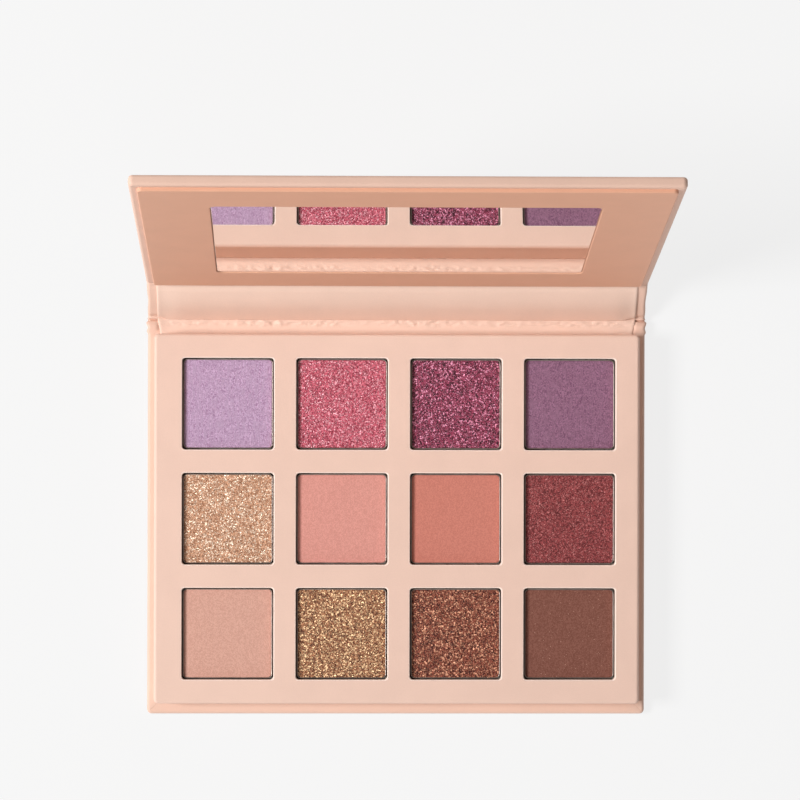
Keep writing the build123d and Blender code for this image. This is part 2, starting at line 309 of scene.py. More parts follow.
class Workpiece:
    """One piece on the bench: a mesh object and the operators that shape it.

    Attributes:
        thing: The Blender object.
    """

    def __init__(self, thing: bpy.types.Object) -> None:
        """Take an object onto the bench."""
        self.thing = thing

    @classmethod
    def block(cls, name: str, low: Vector, high: Vector) -> "Workpiece":
        """Start a piece from a block.

        Args:
            name: Name of the piece.
            low: Lowest corner.
            high: Highest corner.

        Returns:
            The new workpiece.
        """
        bpy.ops.object.select_all(action="DESELECT")
        bpy.ops.mesh.primitive_cube_add(size=1.0, location=(low + high) / 2)
        return cls.sized(name, high - low)

    @classmethod
    def sheet(cls, name: str, low: Vector, high: Vector, columns: int, rows: int) -> "Workpiece":
        """Start a piece from a flat sheet divided into small faces.

        Args:
            name: Name of the piece.
            low: Lowest corner.
            high: Highest corner, at the same height.
            columns: Number of faces along x.
            rows: Number of faces along y.

        Returns:
            The new workpiece.
        """
        bpy.ops.object.select_all(action="DESELECT")
        centre = (low + high) / 2
        bpy.ops.mesh.primitive_grid_add(
            x_subdivisions=columns, y_subdivisions=rows, size=1.0, location=centre
        )
        size = high - low
        return cls.sized(name, Vector((size.x, size.y, 1.0)))

    @classmethod
    def sized(cls, name: str, size: Vector) -> "Workpiece":
        """Give the primitive that was just added its size and name.

        Args:
            name: Name of the piece.
            size: Its size along each axis.

        Returns:
            The new workpiece.
        """
        thing = bpy.context.active_object
        thing.scale = size
        bpy.ops.object.transform_apply(location=True, rotation=True, scale=True)
        thing.name = name
        thing.data.name = name
        return cls(thing)

    def copy(self, name: str, shift: Vector) -> "Workpiece":
        """Copy the piece with its own mesh, moved by a step.

        Args:
            name: Name of the copy.
            shift: How far the copy lies from this piece.

        Returns:
            The copy.
        """
        thing = self.thing.copy()
        thing.data = self.thing.data.copy()
        thing.data.transform(Matrix.Translation(shift))
        bpy.context.scene.collection.objects.link(thing)
        thing.name = name
        thing.data.name = name
        return Workpiece(thing)

    def activate(self) -> None:
        """Make this the only selected object and the active one."""
        bpy.ops.object.select_all(action="DESELECT")
        self.thing.select_set(True)
        bpy.context.view_layer.objects.active = self.thing

    @contextmanager
    def editing(self, pick: Pick, test: Callable | None = None) -> Iterator[None]:
        """Open the piece in edit mode with the elements that pass a test picked.

        Args:
            pick: Kind of element.
            test: Says which elements are picked, or None for all.
        """
        self.activate()
        bpy.ops.object.mode_set(mode="EDIT")
        bpy.ops.mesh.select_mode(type=pick.value)
        bpy.ops.mesh.select_all(action="DESELECT" if test else "SELECT")
        mesh = bmesh.from_edit_mesh(self.thing.data)
        if test:
            rows = {Pick.VERTEX: mesh.verts, Pick.EDGE: mesh.edges, Pick.FACE: mesh.faces}[pick]
            for element in [element for element in rows if test(element)]:
                element.select_set(True)
            mesh.select_flush_mode()
            bmesh.update_edit_mesh(self.thing.data)
        yield
        bpy.ops.object.mode_set(mode="OBJECT")

    def bevel(self, test: Callable, width: float, segments: int) -> None:
        """Round the edges that pass a test.

        Args:
            test: Says which edges are rounded.
            width: Radius of the rounding.
            segments: Number of faces across it.
        """
        with self.editing(Pick.EDGE, test):
            bpy.ops.mesh.bevel(offset=width, segments=segments, profile=0.5, affect="EDGES")

    def slice(self, axis: Axis, places: Iterable[float], test: Callable | None = None) -> None:
        """Cut new edges across the piece.

        Args:
            axis: Axis that the cuts are square to.
            places: Where along that axis each cut is.
            test: Says which faces are cut, or None for all.
        """
        for place in places:
            with self.editing(Pick.FACE, test):
                bpy.ops.mesh.bisect(plane_co=axis.unit() * place, plane_no=axis.unit())

    def mitre(self, start: Vector, run: Vector, test: Callable, depth: float, width: float) -> None:
        """Press a narrow fold line into the faces that pass a test.

        Args:
            start: A point on the line.
            run: Direction of the line, in the plane of the faces.
            test: Says which faces are crossed.
            depth: How deep the line is pressed.
            width: Width of the line.
        """
        near_line, clear_of_edge = 0.2, 0.35 * MM
        square = run.cross(Vector((0, 0, 1))).normalized()
        for side in (-width, 0.0, width):
            with self.editing(Pick.FACE, test):
                bpy.ops.mesh.bisect(plane_co=start + square * side, plane_no=square)

        def on_line(vertex: bmesh.types.BMVert) -> bool:
            """Whether a vertex lies on the line, inside the faces."""
            offset = vertex.co - start
            return (
                abs(offset.dot(square)) < near_line * width
                and clear_of_edge < offset.dot(run.normalized())
                and any(test(face) for face in vertex.link_faces)
            )

        with self.editing(Pick.VERTEX, on_line):
            bpy.ops.transform.translate(value=(0, 0, -depth))

    def delete(self, test: Callable) -> None:
        """Delete the faces that pass a test."""
        with self.editing(Pick.FACE, test):
            bpy.ops.mesh.delete(type="FACE")

    def subtract(self, cutter: "Workpiece") -> None:
        """Cut another workpiece's shape out of this one, and clear the cutter away.

        Args:
            cutter: The shape that is cut out.
        """
        change = self.thing.modifiers.new("cut", "BOOLEAN")
        change.operation = "DIFFERENCE"
        change.solver = "EXACT"
        change.object = cutter.thing
        self.apply(change)
        bpy.data.objects.remove(cutter.thing)

    def thicken(self, paper: float) -> None:
        """Turn the bare surface into a wall of paper that lies behind it.

        Args:
            paper: Thickness of the paper.
        """
        change = self.thing.modifiers.new("wall", "SOLIDIFY")
        change.thickness = paper
        change.offset = -1.0
        change.use_even_offset = True
        change.use_quality_normals = True
        self.apply(change)

    def apply(self, change: bpy.types.Modifier) -> None:
        """Apply a modifier."""
        self.activate()
        bpy.ops.object.modifier_apply(modifier=change.name)

    def form(self, shape: Callable[[Vector], Vector]) -> None:
        """Move every vertex.

        Args:
            shape: Says where a point goes.
        """
        for vertex in self.thing.data.vertices:
            vertex.co = shape(vertex.co.copy())
        self.thing.data.update()

    def smooth(self, degrees: float = 35.0) -> None:
        """Shade the piece smooth, with sharp edges where its faces turn a lot.

        Args:
            degrees: Turn from which an edge is sharp.
        """
        self.activate()
        bpy.ops.object.shade_smooth_by_angle(angle=math.radians(degrees))
        change = self.thing.modifiers.new("normals", "WEIGHTED_NORMAL")
        change.keep_sharp = True
        self.apply(change)

    def set_on(self, panel: Panel) -> None:
        """Set a piece that was modelled in a panel's axes in its place in the shared frame.

        Args:
            panel: Panel whose axes it was modelled in.
        """
        self.activate()
        self.thing.matrix_world = panel.matrix()
        bpy.ops.object.transform_apply(location=True, rotation=True, scale=True)

    def dress(self, *materials: bpy.types.Material) -> None:
        """Give the piece its materials.

        Args:
            materials: The materials, the main one first.
        """
        self.thing.data.materials.clear()
        for material in materials:
            self.thing.data.materials.append(material)

    def paint(self, index: int, test: Callable[[bpy.types.MeshPolygon], bool]) -> None:
        """Use one of the piece's materials on some faces.

        Args:
            index: Which of its materials.
            test: Says which faces get it.
        """
        for face in self.thing.data.polygons:
            if test(face):
                face.material_index = index

    def report(self) -> None:
        """Log the piece and its number of faces."""
        LOG.info("%s: %d faces", self.thing.name, len(self.thing.data.polygons))

    def hand_over(self, body: str, slot: str, *nodes: str) -> None:
        """Let the finished piece ride on a body in place of CAD nodes.

        Args:
            body: CAD body that it rides on.
            slot: Material slot of the record; not used.
            nodes: CAD nodes that it stands for.
        """
        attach(self.thing, body)
        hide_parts(*nodes)
        self.report()

    def hand_over_bent(self, fold: Fold, height: float, slot: str, *nodes: str) -> None:
        """Bake the finished piece into the shared frame in place of CAD nodes.

        Args:
            fold: Fold that it crosses.
            height: Height above the outer paper face that the fold's ends are worked out at.
            slot: Material slot of the record; not used.
            nodes: CAD nodes that it stands for.
        """
        start, end = fold.ends(height)
        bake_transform(self.thing)
        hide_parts(*nodes)
        self.report()


# Finishes


class Recipe:
    """A material being put together from nodes.

    Attributes:
        material: The Blender material.
        tree: Its nodes.
        shader: Its surface shader.
        place: The object's own coordinates.
    """

    def __init__(self, name: str, colour: Colour, roughness: float, metallic: float = 0.0) -> None:
        """Start a material with a plain shader.

        Args:
            name: Name of the material.
            colour: Colour of its surface.
            roughness: Roughness of its surface.
            metallic: How metallic it is, from 0 to 1.
        """
        self.material = bpy.data.materials.new(name)
        self.material.use_nodes = True
        self.tree = self.material.node_tree
        self.tree.nodes.clear()
        self.shader = self.add("ShaderNodeBsdfPrincipled")
        self.set("Base Color", (*colour, 1.0))
        self.set("Roughness", roughness)
        self.set("Metallic", metallic)
        output = self.add("ShaderNodeOutputMaterial")
        self.link(self.shader.outputs[0], output.inputs["Surface"])
        self.place = self.add("ShaderNodeTexCoord").outputs["Object"]

    def add(self, kind: str, **settings: object) -> bpy.types.Node:
        """Add a node.

        Args:
            kind: Blender's name for the node.
            settings: Its settings.

        Returns:
            The node.
        """
        node = self.tree.nodes.new(kind)
        for key, value in settings.items():
            setattr(node, key, value)
        return node

    def link(self, source: Socket, target: Socket) -> None:
        """Join an output to an input."""
        self.tree.links.new(source, target)

    def set(self, socket: str, value: object) -> None:
        """Set one of the shader's own sockets."""
        self.shader.inputs[socket].default_value = value

    def feed(self, socket: str, source: Socket) -> None:
        """Lead an output into one of the shader's sockets."""
        self.link(source, self.shader.inputs[socket])

    def stretched(self, scale: Point) -> Socket:
        """Stretch the object's coordinates.

        Args:
            scale: Scale along each axis.

        Returns:
            The stretched coordinates.
        """
        mapping = self.add("ShaderNodeMapping")
        mapping.inputs["Scale"].default_value = scale
        self.link(self.place, mapping.inputs["Vector"])
        return mapping.outputs[0]

    def cloud(self, scale: float, detail: float = 2.0, place: Socket | None = None) -> Socket:
        """Soft random mottling.

        Args:
            scale: Features per metre.
            detail: Octaves of finer mottling.
            place: Coordinates, or None for the object's own.

        Returns:
            The mottling, around 0.5.
        """
        node = self.add("ShaderNodeTexNoise")
        node.inputs["Scale"].default_value = scale
        node.inputs["Detail"].default_value = detail
        self.link(place or self.place, node.inputs["Vector"])
        return node.outputs["Fac"]

    def grains(self, scale: float, place: Socket | None = None) -> tuple[Socket, ...]:
        """Random grains.

        Args:
            scale: Grains per metre.
            place: Coordinates, or None for the object's own.

        Returns:
            Three random values of each grain, and its colour as a vector.
        """
        node = self.add("ShaderNodeTexVoronoi")
        node.inputs["Scale"].default_value = scale
        self.link(place or self.place, node.inputs["Vector"])
        split = self.add("ShaderNodeSeparateColor")
        self.link(node.outputs["Color"], split.inputs[0])
        return (*split.outputs, node.outputs["Color"])

    def ranged(
        self, source: Socket, low: float, high: float, to_low: float = 0.0, to_high: float = 1.0
    ) -> Socket:
        """Spread a range of values over another, and hold it at its ends.

        Args:
            source: The values.
            low: Lower end of the range.
            high: Upper end of the range.
            to_low: What the lower end becomes.
            to_high: What the upper end becomes.

        Returns:
            The spread values.
        """
        node = self.add("ShaderNodeMapRange")
        for socket, value in zip(("From Min", "From Max", "To Min", "To Max"), (low, high, to_low, to_high)):
            node.inputs[socket].default_value = value
        self.link(source, node.inputs["Value"])
        return node.outputs[0]

    def sums(self, operation: str, first: Socket, second: Socket | float) -> Socket:
        """Work out a value from two others.

        Args:
            operation: Blender's name for the maths operation.
            first: First value.
            second: Second value, or a number.

        Returns:
            The result.
        """
        node = self.add("ShaderNodeMath", operation=operation)
        self.link(first, node.inputs[0])
        if isinstance(second, float):
            node.inputs[1].default_value = second
        else:
            self.link(second, node.inputs[1])
        return node.outputs[0]

    def mix(self, share: Socket, first: Colour | Socket, second: Colour | Socket) -> Socket:
        """Mix two colours by a share.

        Args:
            share: How much of the second colour.
            first: Colour or colour output.
            second: Colour or colour output.

        Returns:
            The mixed colour.
        """
        node = self.add("ShaderNodeMix", data_type="RGBA")
        self.link(share, node.inputs[0])
        for socket, colour in ((node.inputs[6], first), (node.inputs[7], second)):
            if isinstance(colour, tuple):
                socket.default_value = (*colour, 1.0)
            else:
                self.link(colour, socket)
        return node.outputs[2]

    def bump(self, height: Socket, depth: float, strength: float, under: Socket | None = None) -> Socket:
        """Surface relief.

        Args:
            height: Relief from 0 to 1.
            depth: Depth of the relief in metres.
            strength: Strength from 0 to 1.
            under: Normal of a coarser relief under this one.

        Returns:
            The normal.
        """
        node = self.add("ShaderNodeBump")
        node.inputs["Distance"].default_value = depth
        node.inputs["Strength"].default_value = strength
        self.link(height, node.inputs["Height"])
        if under:
            self.link(under, node.inputs["Normal"])
        return node.outputs[0]


@dataclass(frozen=True)
class PaperFinish:
    """Uncoated or matt-coated paper: faint mottling, fine fibre and a soft surface.

    Attributes:
        name: Name of the material.
        colour: Colour of the paper.
        mottle: How much lighter and darker the mottling is.
        roughness: Roughness of the surface.
        fibre: Depth of the fibre relief in metres.
    """

    name: str
    colour: Colour
    mottle: float = 0.035
    roughness: float = 0.62
    fibre: float = 0.02 * MM

    def make(self) -> bpy.types.Material:
        """Put the material together.

        Returns:
            The material.
        """
        recipe = Recipe(self.name, self.colour, self.roughness)
        light, dark = (shaded(self.colour, factor) for factor in (1 + self.mottle, 1 - self.mottle))
        broad = recipe.cloud(120, 3)
        fine = recipe.cloud(2600, 3)
        share = recipe.sums("ADD", *(recipe.ranged(cloud, 0.3, 0.7, 0.0, 0.5) for cloud in (broad, fine)))
        recipe.feed("Base Color", recipe.mix(share, dark, light))
        recipe.feed("Roughness", recipe.ranged(fine, 0.3, 0.7, self.roughness - 0.05, self.roughness + 0.05))
        recipe.set("Specular IOR Level", 0.35)
        rough = recipe.bump(recipe.cloud(700, 2), self.fibre * 1.5, 0.4)
        recipe.feed("Normal", recipe.bump(fine, self.fibre, 0.5, rough))
        return recipe.material


@dataclass(frozen=True)
class BoardFinish:
    """Greyboard or card: pressed layers and flecks."""

    name: str
    colour: Colour
    fleck: Colour

    def make(self) -> bpy.types.Material:
        """Put the material together.

        Returns:
            The material.
        """
        recipe = Recipe(self.name, self.colour, 0.9)
        layers = recipe.cloud(900, 3, recipe.stretched((0.15, 0.15, 4.0)))
        flecks = recipe.ranged(recipe.grains(1800)[0], 0.86, 0.9)
        body = recipe.mix(recipe.ranged(layers, 0.35, 0.65), shaded(self.colour, 0.82), self.colour)
        recipe.feed("Base Color", recipe.mix(flecks, body, self.fleck))
        recipe.feed("Normal", recipe.bump(layers, 0.03 * MM, 0.6))
        return recipe.material


@dataclass(frozen=True)
class MetalFinish:
    """Tinned or plated steel with fine drawing marks."""

    name: str
    colour: Colour
    roughness: float
    marks: float = 3000.0

    def make(self) -> bpy.types.Material:
        """Put the material together.

        Returns:
            The material.
        """
        recipe = Recipe(self.name, self.colour, self.roughness, 1.0)
        brushed = recipe.cloud(self.marks, 2, recipe.stretched((0.2, 0.2, 1.0)))
        share = recipe.ranged(brushed, 0.3, 0.7)
        recipe.feed("Base Color", recipe.mix(share, shaded(self.colour, 0.8), self.colour))
        low, high = self.roughness - 0.06, self.roughness + 0.08
        recipe.feed("Roughness", recipe.ranged(brushed, 0.3, 0.7, low, high))
        recipe.feed("Normal", recipe.bump(brushed, 0.004 * MM, 0.5))
        return recipe.material


@dataclass(frozen=True)
class MirrorFinish:
    """Silvered glass."""

    name: str
    colour: Colour

    def make(self) -> bpy.types.Material:
        """Put the material together.

        Returns:
            The material.
        """
        recipe = Recipe(self.name, self.colour, 0.015, 1.0)
        haze = recipe.cloud(60, 2)
        recipe.feed("Roughness", recipe.ranged(haze, 0.45, 0.75, 0.012, 0.03))
        share = recipe.ranged(haze, 0.3, 0.8)
        recipe.feed("Base Color", recipe.mix(share, self.colour, shaded(self.colour, 0.985)))
        return recipe.material


@dataclass(frozen=True)
class GlueFinish:
    """Dried glue or clear tape, slightly cloudy."""

    name: str
    colour: Colour
    roughness: float = 0.3

    def make(self) -> bpy.types.Material:
        """Put the material together.

        Returns:
            The material.
        """
        recipe = Recipe(self.name, self.colour, self.roughness)
        cloudy = recipe.cloud(500, 3)
        recipe.feed("Base Color", recipe.mix(cloudy, shaded(self.colour, 0.85), self.colour))
        recipe.feed("Normal", recipe.bump(cloudy, 0.05 * MM, 0.5))
        return recipe.material


class Sparkle(Enum):
    """How much a pressed powder glints."""

    MATTE = "matte"
    SATIN = "satin"
    SHIMMER = "shimmer"
    GLITTER = "glitter"


@dataclass(frozen=True)
class PowderFinish:
    """Pressed powder.

    Attributes:
        sparkle: Kind of powder.
        colour: Main colour.
        dark: Colour of the darker grains.
        glint: Colour of the glinting grains.
        grain: Size of a grain.
        contrast: Strength of the difference between grains, from 0 to 1.
        weave: Strength of the cloth marks left by pressing, from 0 to 1.
        glints: Share of the grains that glint.
    """

    sparkle: Sparkle
    colour: Screen
    dark: Screen
    glint: Screen
    grain: float
    contrast: float
    weave: float = 0.0
    glints: float = 0.0

    def make(self, name: str) -> bpy.types.Material:
        """Put the material together.

        Args:
            name: Name of the material.

        Returns:
            The material.
        """
        body, dark, glint = (from_screen(screen) for screen in (self.colour, self.dark, self.glint))
        recipe = Recipe(name, body, 0.85)
        flat = recipe.stretched((1.0, 1.0, 0.2))
        coarse = recipe.grains(1 / self.grain, flat)
        fine = recipe.grains(2.3 / self.grain, flat)
        parts = ((coarse[1], 0.6), (fine[1], 0.4))
        blend = recipe.sums("ADD", *(recipe.sums("MULTIPLY", source, part) for source, part in parts))
        spread = 0.05 + 0.5 * (1 - self.contrast)
        colour = recipe.mix(recipe.ranged(blend, 0.5 - spread, 0.5 + spread), dark, body)
        normal = recipe.bump(recipe.cloud(5000, 2), 0.03 * MM, 0.6)
        if self.weave:
            streaks = recipe.cloud(1.0, 2, recipe.stretched((2600, 330, 300)))
            pressed = recipe.sums("MULTIPLY", recipe.ranged(streaks, 0.35, 0.65), self.weave)
            colour = recipe.mix(pressed, colour, shaded(body, 0.78))
            normal = recipe.bump(streaks, 0.05 * MM, self.weave, normal)
        limit = 1 - self.glints
        if self.sparkle in (Sparkle.SHIMMER, Sparkle.GLITTER):
            lit = (recipe.ranged(source, limit, limit + 0.02) for source in (coarse[2], fine[1]))
            sparks = recipe.sums("MAXIMUM", *lit)
            colour = recipe.mix(sparks, colour, glint)
            recipe.feed("Metallic", recipe.ranged(sparks, 0.0, 1.0, 0.25, 0.7))
            recipe.feed("Roughness", recipe.ranged(sparks, 0.0, 1.0, 0.6, 0.45))
            tilt = 0.75 if self.sparkle is Sparkle.GLITTER else 0.55
            normal = self.tilted(recipe, fine[3], tilt, normal)
        elif self.sparkle is Sparkle.SATIN:
            for socket, value in (("Sheen Weight", 0.25), ("Sheen Roughness", 0.4), ("Metallic", 0.15)):
                recipe.set(socket, value)
            recipe.set("Roughness", 0.6)
            normal = self.tilted(recipe, fine[3], 0.25, normal)
        elif self.glints:
            colour = recipe.mix(recipe.ranged(fine[1], limit, limit + 0.002), colour, glint)
            recipe.set("Specular IOR Level", 0.25)
        recipe.feed("Base Color", colour)
        recipe.feed("Normal", normal)
        return recipe.material

    @staticmethod
    def tilted(recipe: Recipe, random: Socket, tilt: float, normal: Socket) -> Socket:
        """Tilt every grain's face its own way.

        Args:
            recipe: The material being made.
            random: Random vector of each grain.
            tilt: How far the faces tilt.
            normal: Normal that they tilt from.

        Returns:
            The tilted normal.
        """
        centred = recipe.add("ShaderNodeVectorMath", operation="SUBTRACT")
        recipe.link(random, centred.inputs[0])
        centred.inputs[1].default_value = (0.5, 0.5, 0.5)
        scaled = recipe.add("ShaderNodeVectorMath", operation="SCALE")
        recipe.link(centred.outputs[0], scaled.inputs[0])
        scaled.inputs["Scale"].default_value = tilt
        total = recipe.add("ShaderNodeVectorMath", operation="ADD")
        recipe.link(scaled.outputs[0], total.inputs[0])
        recipe.link(normal, total.inputs[1])
        unit = recipe.add("ShaderNodeVectorMath", operation="NORMALIZE")
        recipe.link(total.outputs[0], unit.inputs[0])
        return unit.outputs[0]


COVER_PAPER = PaperFinish("cover_paper", (0.765, 0.515, 0.41))
LINING_PAPER = PaperFinish("lining_paper", (0.81, 0.59, 0.485))
TRAY_PAPER = PaperFinish("tray_paper", (0.80, 0.56, 0.46))
# Painted highlight: a lighter copy of the tray paper for the rounded window rims, standing in for the light
# they catch.
RIM_HIGHLIGHT_PAPER = PaperFinish("tray_paper_rim_highlight", (0.90, 0.72, 0.63))
# Painted shade: the lid panel's paper is darker and more saturated than the tray's, standing in for the
# weaker light that the upright lid gets.
SHADED_PANEL_PAPER = PaperFinish("panel_paper", (0.735, 0.395, 0.265))
GREYBOARD = BoardFinish("greyboard", (0.30, 0.28, 0.25), (0.12, 0.11, 0.10))
TRAY_CARD = BoardFinish("tray_card", (0.62, 0.58, 0.52), (0.40, 0.36, 0.31))
PAN_STEEL = MetalFinish("pan_steel", (0.52, 0.45, 0.41), 0.38)
MAGNET_METAL = MetalFinish("magnet_plating", (0.66, 0.65, 0.63), 0.22)
MIRROR = MirrorFinish("mirror_silver", (0.93, 0.93, 0.92))
BACKING_FILM = BoardFinish("mirror_backing_film", (0.10, 0.13, 0.12), (0.05, 0.06, 0.06))
GLUE = GlueFinish("hot_glue", (0.78, 0.72, 0.55))
TAPE = GlueFinish("foam_tape", (0.80, 0.80, 0.78), 0.7)


# Cover


@dataclass
class CoverPaper:
    """The paper round one panel of the cover.

    Attributes:
        name: Name of the piece.
        node: CAD node that it stands for.
        panel: Panel that it covers.
        trim: How much of its fold end belongs to the fold's own piece.
        free_low: Whether its low end is a free edge.
        free_high: Whether its high end is a free edge.
        pinch: How far its sides draw in between its ends.
        edge_radius: Radius of its edges.
        corner_radius: Radius of its free corners in plan.
        turn_in: How far it is turned in over the inner face.
        mitre_start: How far in from a corner its mitre starts.
        mitre_depth: Depth of the mitres.
        mitre_width: Width of the mitres.
        pinch_width: How far in from a side the paper draws in.
        pinch_cuts: Number of cuts along the sides that draw in.
    """

    name: str
    node: str
    panel: Panel
    trim: float = 0.0
    free_low: bool = False
    free_high: bool = False
    pinch: float = 0.0
    edge_radius: float = 0.85 * MM
    corner_radius: float = 1.25 * MM
    turn_in: float = 12 * MM
    mitre_start: float = 0.55 * MM
    mitre_depth: float = 0.09 * MM
    mitre_width: float = 0.16 * MM
    pinch_width: float = 2.5 * MM
    pinch_cuts: int = 9

    def build(self, paper: bpy.types.Material) -> None:
        """Build and dress the piece.

        Args:
            paper: Material of the paper.
        """
        low, high = self.panel.box(self.node)
        high = Vector((high.x, high.y - self.trim, high.z))
        piece = Workpiece.block(self.name, low, high)
        free_ends = [end for end, free in ((low.y, self.free_low), (high.y, self.free_high)) if free]
        fold_ends = [end for end in (low.y, high.y) if not among(end, free_ends)]

        def rounded(edge: Edge) -> bool:
            """Whether an edge is on a free side, top or bottom."""
            at_fold = runs_along(edge, Axis.X) and among(middle(edge).y, fold_ends)
            return (level(edge, low.z) or level(edge, high.z)) and not at_fold

        def open_end(face: Face) -> bool:
            """Whether a face closes the piece off at a fold."""
            return abs(face.normal.y) > FACING and among(face.calc_center_median().y, fold_ends)

        piece.bevel(lambda edge: upright(edge) and among(middle(edge).y, free_ends), self.corner_radius, 6)
        piece.bevel(rounded, self.edge_radius, 5)
        piece.delete(open_end)
        self.open_inside(piece, low, high)
        self.press_mitres(piece, low, high)
        if self.pinch:
            self.draw_in(piece, low, high)
        piece.thicken(PAPER)
        piece.smooth()
        piece.set_on(self.panel)
        piece.dress(paper)
        piece.hand_over(self.panel.body, "cover_paper", self.node)

    def open_inside(self, piece: Workpiece, low: Vector, high: Vector) -> None:
        """Cut the middle of the inner face away, where the turn-ins stop.

        Args:
            piece: The piece.
            low: Its lowest corner.
            high: Its highest corner.
        """

        def on_top(face: Face) -> bool:
            """Whether a face is the flat inner face."""
            return looks_up(face) and abs(face.calc_center_median().z - high.z) < CLOSE

        start = low.y + self.turn_in if self.free_low else low.y
        stop = high.y - self.turn_in if self.free_high else high.y
        piece.slice(Axis.X, (low.x + self.turn_in, high.x - self.turn_in), on_top)
        piece.slice(Axis.Y, [y for y in (start, stop) if low.y < y < high.y], on_top)

        def opening(face: Face) -> bool:
            """Whether a face lies inside the turn-ins."""
            centre = face.calc_center_median()
            return on_top(face) and abs(centre.x) < high.x - self.turn_in and start < centre.y < stop

        piece.delete(opening)

    def press_mitres(self, piece: Workpiece, low: Vector, high: Vector) -> None:
        """Press the fold lines of the turned-in corners.

        Args:
            piece: The piece.
            low: Its lowest corner.
            high: Its highest corner.
        """
        for free, y, run_y in ((self.free_low, low.y, 1.0), (self.free_high, high.y, -1.0)):
            if not free:
                continue
            for x, run_x in ((low.x, 1.0), (high.x, -1.0)):
                corner = Vector((x, y, high.z))
                run = Vector((run_x, run_y, 0))

                def near(face: Face, corner: Vector = corner) -> bool:
                    """Whether a face is the turn-in at this corner."""
                    offset = face.calc_center_median() - corner
                    return face.normal.z > 0.9 and max(abs(offset.x), abs(offset.y)) < self.turn_in

                start = corner + run * self.mitre_start
                piece.mitre(start, run, near, self.mitre_depth, self.mitre_width)

    def draw_in(self, piece: Workpiece, low: Vector, high: Vector) -> None:
        """Draw the sides in a little between the folds, where the paper is pulled over a narrow board.

        Args:
            piece: The piece.
            low: Its lowest corner.
            high: Its highest corner.
        """
        lift = 0.3
        piece.slice(Axis.Y, between(low.y, high.y, self.pinch_cuts))

        def drawn(point: Vector) -> Vector:
            """Where a point of the side goes.

            Args:
                point: The point.

            Returns:
                Its new place.
            """
            side = smoothstep((abs(point.x) - (high.x - self.pinch_width)) / self.pinch_width)
            pull = self.pinch * side * hill(point.y, low.y, high.y)
            return Vector((point.x - math.copysign(pull, point.x), point.y, point.z + lift * pull))

        piece.form(drawn)


@dataclass
class FoldPaper:
    """The cover paper across one fold: its outer strip, and the gathered turn-ins at both ends.

    Attributes:
        name: Name of the piece.
        node: CAD node that it stands for.
        fold: Fold that it crosses.
        lead: How far it reaches over the first panel.
        crease: Where the gathered ends are creased, as a distance past the fold line.
        groove: Depth of that crease.
        lump: Height of the gathered paper on the first panel.
        seed: Picks the wrinkles.
        half_width: Half its width along the fold.
        edge_radius: Radius of its edges along the sides.
        turn_in: How far it is turned in over the inner face.
        wrinkle: Height of the fine wrinkles.
        columns: How far in from the sides it is cut for the gathers, in millimetres.
        rows: Number of cuts across the fold.
    """

    name: str
    node: str
    fold: Fold
    lead: float
    crease: float
    groove: float
    lump: float
    seed: float
    half_width: float = 69 * MM
    edge_radius: float = 0.85 * MM
    turn_in: float = 5 * MM
    wrinkle: float = 0.09 * MM
    columns: tuple[float, ...] = (4.5, 4.0, 3.5, 3.1, 2.8, 2.5, 2.2, 1.9, 1.5, 1.2)
    rows: int = 34

    def build(self, paper: bpy.types.Material) -> None:
        """Build and dress the piece.

        Args:
            paper: Material of the paper.
        """
        top = self.fold.thickness
        start, stop = -self.fold.before - self.lead, self.fold.after
        low = Vector((-self.half_width, start, 0))
        high = Vector((self.half_width, stop, top))
        piece = Workpiece.block(self.name, low, high)
        piece.bevel(lambda edge: runs_along(edge, Axis.Y), self.edge_radius, 5)
        piece.delete(lambda face: abs(face.normal.y) > FACING)
        inner = self.half_width - self.turn_in
        cuts = [inner, *(self.half_width - column * MM for column in self.columns)]
        piece.slice(Axis.X, [side * cut for cut in cuts for side in (-1, 1)])
        piece.delete(lambda face: looks_up(face) and abs(face.calc_center_median().x) < inner)
        piece.slice(Axis.Z, (0.35 * top, 0.65 * top), lambda face: abs(face.normal.x) > FACING)
        piece.slice(Axis.Y, between(start, stop, self.rows))
        piece.thicken(PAPER)
        piece.form(self.gathered)
        piece.smooth(60)
        piece.dress(paper)
        piece.hand_over_bent(self.fold, top / 2, "cover_paper", self.node)

    def beyond(self, x: float, reach: float, over: float) -> float:
        """How far a place is into the stretch beside a side.

        Args:
            x: Place along the fold line.
            reach: How far in from the side the stretch starts.
            over: Length that it takes to be fully in it.

        Returns:
            The share, from 0 to 1.
        """
        return smoothstep((abs(x) - (self.half_width - reach)) / over)

    def gathered(self, point: Vector) -> Vector:
        """Bring a point of the flat piece round the fold, with the gathers at its ends.

        Args:
            point: A point of the flat piece.

        Returns:
            The point in the shared frame.
        """
        fold = self.fold
        x, distance, height = point
        start = -fold.before - self.lead
        still = smoothstep((distance - start) / (0.7 * MM)) * smoothstep((fold.after - distance) / (0.9 * MM))
        upper = smoothstep(height / fold.thickness)
        shown = self.beyond(x, 4.5 * MM, 1.0 * MM)
        outer = self.beyond(x, 3.4 * MM, 1.1 * MM)
        crease = self.crease + 0.25 * MM * noise.noise(Vector((x * 500, self.seed, 0)))
        sharp = hill(distance, crease - 0.6 * MM, crease + 0.6 * MM)
        heap = hill(distance, start + 0.1 * MM, crease + 0.1 * MM)
        wave = noise.noise(Vector((x * 800, distance * 600, self.seed)))
        gather = outer * self.lump * heap - self.groove * sharp + self.wrinkle * wave * (sharp + outer * heap)
        dip = hill(distance, -fold.before - 1.2 * MM, fold.after + 0.3 * MM)
        tucked = -0.8 * self.groove * dip - 0.1 * MM
        height += upper * still * mix_numbers(tucked, gather, shown)
        side = self.beyond(x, 2.2 * MM, 2.0 * MM) * smoothstep(point.z / fold.thickness + 0.2)
        bulge = self.lump * hill(distance, crease - 2.4 * MM, crease + 1.4 * MM) - 0.55 * self.groove * sharp
        if self.lead:
            bulge -= 0.35 * MM * hill(distance, start - 1.0 * MM, start + 2.2 * MM)
        x += math.copysign(side * bulge * still, x)
        return fold.place(x, distance, height)


